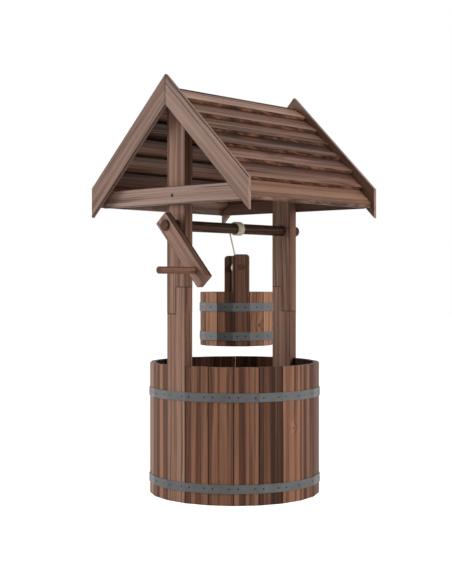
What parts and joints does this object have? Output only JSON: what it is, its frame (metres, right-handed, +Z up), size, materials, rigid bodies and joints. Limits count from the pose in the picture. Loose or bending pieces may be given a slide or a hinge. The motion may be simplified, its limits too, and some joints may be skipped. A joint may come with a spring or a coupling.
{
  "type": "wishing well planter",
  "caption": "Wooden wishing well planter: coopered barrel with steel hoops, two posts, louvred gable roof, crank windlass and a small hanging bucket.",
  "frame": {"origin": "centre of the bounding box's footprint on the ground; the barrel's axis stands at y = 0.0669 m, because the crank handle reaches out to -Y", "axes": "+Z up; -Y is the gable with the crank; the roof ridge and the axle run along Y; +X is to the right, seen from the crank"},
  "size_m": [0.592, 0.7002, 1.1598],
  "materials": {
    "barrel_wood": "red-brown oiled softwood, satin, strong straight grain",
    "roof_wood": "red-brown oiled softwood, slightly greyer, satin",
    "bucket_wood": "red-brown oiled softwood, satin",
    "hoop_steel": "dull galvanised strap",
    "rope": "undyed twisted cord, matt"
  },
  "bodies": {
    "frame": {"barrel_stave_01": "barrel_wood", "barrel_stave_02": "barrel_wood", "barrel_stave_03": "barrel_wood", "barrel_stave_04": "barrel_wood", "barrel_stave_05": "barrel_wood", "barrel_stave_06": "barrel_wood", "barrel_stave_07": "barrel_wood", "barrel_stave_08": "barrel_wood", "barrel_stave_09": "barrel_wood", "barrel_stave_10": "barrel_wood", "barrel_stave_11": "barrel_wood", "barrel_stave_12": "barrel_wood", "barrel_stave_13": "barrel_wood", "barrel_stave_14": "barrel_wood", "barrel_stave_15": "barrel_wood", "barrel_stave_16": "barrel_wood", "barrel_stave_17": "barrel_wood", "barrel_stave_18": "barrel_wood", "barrel_stave_19": "barrel_wood", "barrel_stave_20": "barrel_wood", "barrel_floor": "barrel_wood", "front_post_lower": "barrel_wood", "front_post_upper": "barrel_wood", "rear_post_lower": "barrel_wood", "rear_post_upper": "barrel_wood", "barrel_hoop_lower": "hoop_steel", "barrel_hoop_upper": "hoop_steel", "front_gable_board_left": "roof_wood", "front_gable_board_right": "roof_wood", "rear_gable_board_left": "roof_wood", "rear_gable_board_right": "roof_wood", "left_slat_1": "roof_wood", "left_slat_2": "roof_wood", "left_slat_3": "roof_wood", "left_slat_4": "roof_wood", "left_slat_5": "roof_wood", "left_slat_6": "roof_wood", "right_slat_1": "roof_wood", "right_slat_2": "roof_wood", "right_slat_3": "roof_wood", "right_slat_4": "roof_wood", "right_slat_5": "roof_wood", "right_slat_6": "roof_wood", "left_eave_board": "roof_wood", "right_eave_board": "roof_wood", "front_tie_beam": "roof_wood", "rear_tie_beam": "roof_wood"},
    "windlass": {"axle": "barrel_wood", "crank_arm": "barrel_wood", "crank_handle": "barrel_wood", "rope_winding": "rope"},
    "hoist": {"rope_drop": "rope"},
    "bucket": {"bucket_staves_left": "bucket_wood", "bucket_staves_right": "bucket_wood", "bucket_ear_front": "bucket_wood", "bucket_ear_rear": "bucket_wood", "bucket_base": "bucket_wood", "bucket_hoop_lower": "hoop_steel", "bucket_hoop_upper": "hoop_steel", "bucket_dowel": "bucket_wood"}
  },
  "joints": [
    {"name": "crank_turn", "type": "hinge", "parent": "frame", "child": "windlass", "pos_m": [0, 0.0669, 0.752], "axis": [0, -1, 0], "range_deg": [-180, 1080]},
    {"name": "hoist_drop", "type": "slide", "parent": "frame", "child": "hoist", "axis": [0, 0, -1], "range_m": [-0.0525, 0.311], "deforming": ["rope_drop"]},
    {"name": "bucket_swing", "type": "hinge", "parent": "hoist", "child": "bucket", "pos_m": [0.004, 0.0709, 0.64], "axis": [-0.7524, 0.6587, 0], "range_deg": [-15, 15]}
  ],
  "couplings": [
    {"joint": "hoist_drop", "follows": "crank_turn", "m_per_rad": 0.0164}
  ]
}
